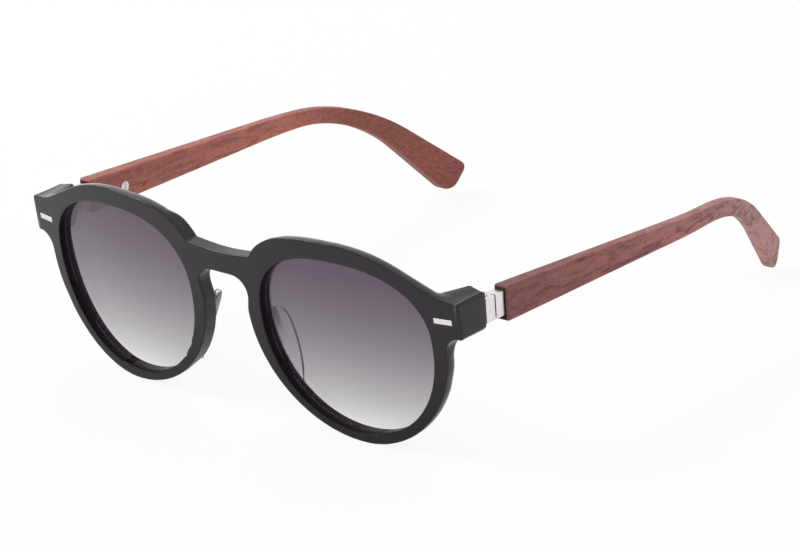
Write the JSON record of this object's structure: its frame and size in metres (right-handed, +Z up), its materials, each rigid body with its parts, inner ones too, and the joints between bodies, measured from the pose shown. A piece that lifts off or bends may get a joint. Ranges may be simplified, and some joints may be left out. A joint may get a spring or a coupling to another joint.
{
  "type": "sunglasses",
  "caption": "Round-lens sunglasses with a keyhole-bridge plastic front, gradient lenses, sprung folding hinges and wooden temples that bend down behind the ears.",
  "frame": {"origin": "middle of the part's width and depth, on the floor that the rims and temple tips stand on", "axes": "+Z up, +X towards the wearer's left, +Y back along the open temples, with the front facing -Y"},
  "size_m": [0.1404, 0.1519, 0.0528],
  "materials": {
    "acetate": "polished black acetate",
    "tinted_lens": "grey tint, dark at the top and nearly clear at the bottom",
    "clear_pad": "clear moulded plastic",
    "polished_metal": "polished silver-coloured metal",
    "screw_steel": "plain steel",
    "spring_steel": "drawn spring wire",
    "walnut": "reddish brown wood, oiled, grain along the temple"
  },
  "bodies": {
    "front": {"front_frame": "acetate", "left_lens": "tinted_lens", "right_lens": "tinted_lens", "left_nose_pad": "clear_pad", "right_nose_pad": "clear_pad", "left_plaque": "polished_metal", "right_plaque": "polished_metal", "left_front_leaf": "polished_metal", "right_front_leaf": "polished_metal", "left_hinge_screw": "screw_steel", "right_hinge_screw": "screw_steel"},
    "left_slider": {"left_plunger": "screw_steel", "left_spring_stop": "screw_steel"},
    "left_arm": {"left_temple": "walnut", "left_hinge_case": "polished_metal", "left_case_screw": "polished_metal", "left_spring": "spring_steel"},
    "right_slider": {"right_plunger": "screw_steel", "right_spring_stop": "screw_steel"},
    "right_arm": {"right_temple": "walnut", "right_hinge_case": "polished_metal", "right_case_screw": "polished_metal", "right_spring": "spring_steel"}
  },
  "joints": [
    {"name": "left_fold", "type": "hinge", "parent": "front", "child": "left_slider", "pos_m": [0.0668, -0.05652, 0.0372], "axis": [0, 0, 1], "range_deg": [-10, 86]},
    {"name": "left_spring_slide", "type": "slide", "parent": "left_slider", "child": "left_arm", "axis": [0, 1, 0], "range_m": [0, 0.0006], "stiffness_N_per_m": 400, "springref_m": -0.005, "deforming": ["left_spring"]},
    {"name": "right_fold", "type": "hinge", "parent": "front", "child": "right_slider", "pos_m": [-0.0668, -0.05652, 0.0372], "axis": [0, 0, -1], "range_deg": [-10, 77.5]},
    {"name": "right_spring_slide", "type": "slide", "parent": "right_slider", "child": "right_arm", "axis": [0, 1, 0], "range_m": [0, 0.0006], "stiffness_N_per_m": 400, "springref_m": -0.005, "deforming": ["right_spring"]}
  ]
}
